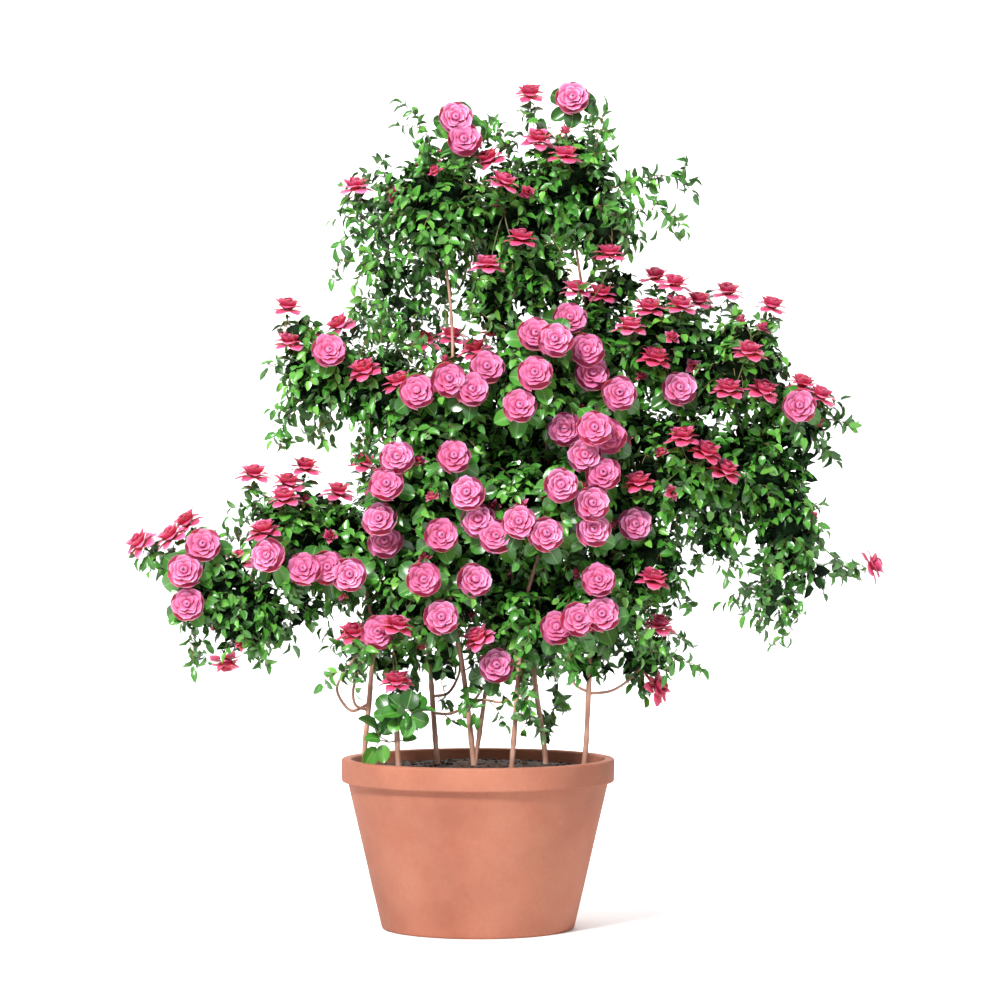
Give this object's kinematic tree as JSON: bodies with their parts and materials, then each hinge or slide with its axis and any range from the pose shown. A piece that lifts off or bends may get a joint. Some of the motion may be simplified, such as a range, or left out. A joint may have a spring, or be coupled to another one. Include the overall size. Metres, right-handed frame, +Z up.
{
  "type": "potted climbing rose",
  "caption": "Climbing rose in a plain round pot: woody canes rise from the soil and carry dense leafy growth and trusses of double roses.",
  "frame": {"origin": "centre of the pot's underside, on the surface that it stands on", "axes": "+Z up, -Y towards the viewer of the picture, +X to the viewer's right"},
  "size_m": [1.989, 0.71, 2.1948],
  "materials": {
    "clay": "matt fired clay",
    "soil": "rough damp soil",
    "bark": "smooth pinkish brown bark",
    "leaf": "glossy green leaf",
    "petal": "soft pink petal"
  },
  "bodies": {
    "root": {"pot": "clay", "soil": "soil", "cane_1": "bark", "cane_2": "bark", "cane_3": "bark", "cane_4": "bark", "cane_5": "bark", "cane_6": "bark", "cane_7": "bark", "truss_top_left": "petal", "truss_top_left_back": "petal", "truss_left_wing": "petal", "truss_top_right": "petal", "truss_top_mid": "petal", "truss_top_right_back": "petal", "truss_left": "petal", "truss_centre_1_top": "petal", "truss_centre_1": "petal", "truss_centre_2": "petal", "truss_centre_3": "petal", "truss_centre_4": "petal", "truss_centre_4_side": "petal", "truss_centre_5": "petal", "truss_centre_5_right": "petal", "truss_centre_6": "petal", "truss_centre_6_low": "petal", "truss_centre_7": "petal", "truss_centre_8": "petal", "truss_low_right": "petal", "truss_right_1": "petal", "truss_right_1_front": "petal", "truss_right_2": "petal", "truss_right_tip": "petal", "truss_right_3": "petal", "truss_right_end": "petal", "truss_left_arm_top": "petal", "truss_left_arm": "petal", "truss_left_tip": "petal", "truss_left_tip_low": "petal", "truss_centre_1_back": "petal", "truss_centre_2_back": "petal", "truss_centre_5_back": "petal", "truss_centre_6_back": "petal", "truss_right_1_back": "petal", "truss_right_2_back": "petal", "truss_left_arm_back": "petal", "foliage_top_left": "leaf", "foliage_top_right": "leaf", "foliage_left": "leaf", "foliage_centre_upper": "leaf", "foliage_centre_right": "leaf", "foliage_centre": "leaf", "foliage_low_left": "leaf", "foliage_low_middle": "leaf", "foliage_right_upper": "leaf", "foliage_right_lower": "leaf", "foliage_left_arm": "leaf", "foliage_left_tip": "leaf", "foliage_base_shoot": "leaf"}
  },
  "joints": []
}
